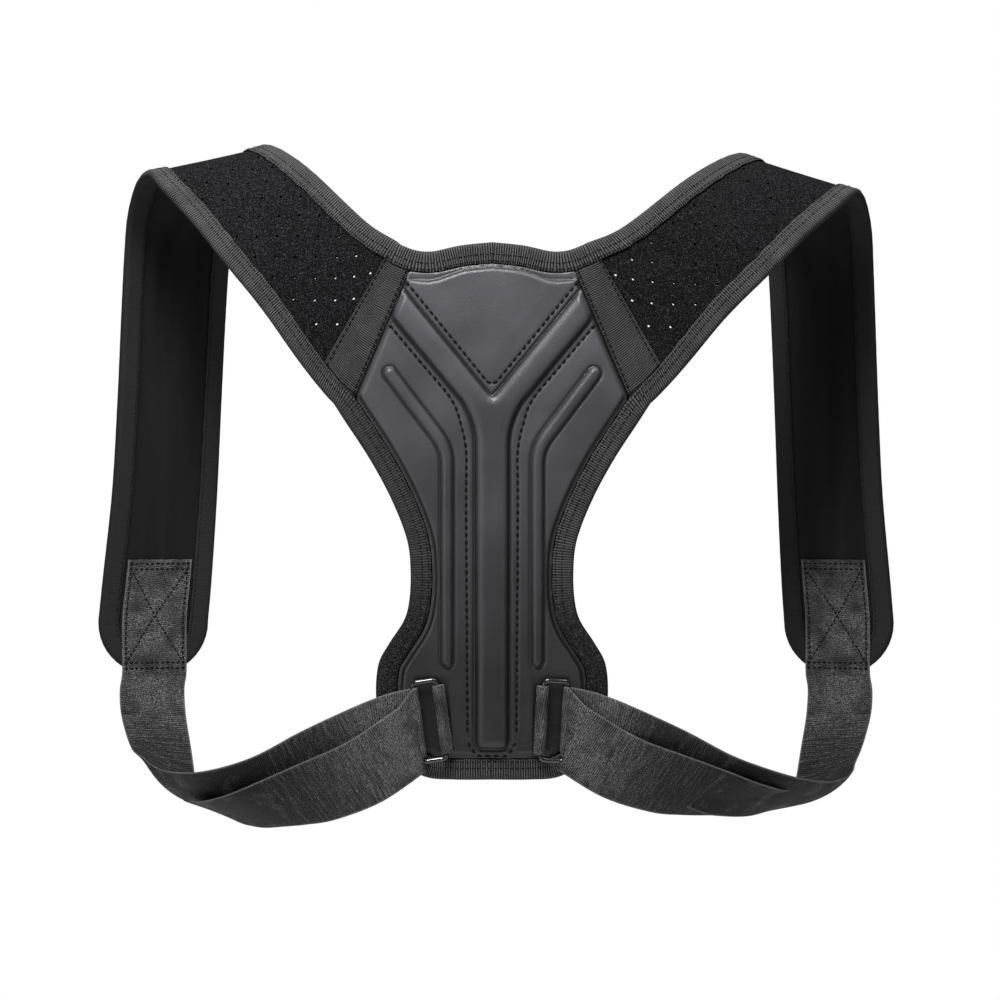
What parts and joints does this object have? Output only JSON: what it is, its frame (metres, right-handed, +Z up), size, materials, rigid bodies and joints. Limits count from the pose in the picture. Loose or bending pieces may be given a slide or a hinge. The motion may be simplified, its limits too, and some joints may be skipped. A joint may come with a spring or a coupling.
{
  "type": "posture corrector",
  "caption": "Black padded posture corrector with a moulded Y-ribbed back panel, two perforated shoulder straps and webbing led through wire rings, kept in the form it has when worn.",
  "frame": {"origin": "on the wearer's side of the back pad, on the midline, between the crest and the hem", "axes": "+X to the wearer's right, +Y from the pad towards the wearer, +Z up"},
  "size_m": [0.4924, 0.143, 0.4108],
  "materials": {
    "velour": "matte",
    "leatherette": "satin",
    "grosgrain": "matte",
    "webbing": "satin",
    "wire": "gloss"
  },
  "bodies": {
    "root": {"back_pad": "velour", "back_panel": "leatherette", "edge_binding": "grosgrain", "left_shoulder_strap": "velour", "right_shoulder_strap": "velour", "left_cross_band": "grosgrain", "right_cross_band": "grosgrain", "left_webbing": "webbing", "right_webbing": "webbing", "left_ring": "wire", "right_ring": "wire", "left_anchor_loop": "webbing", "right_anchor_loop": "webbing"}
  },
  "joints": []
}
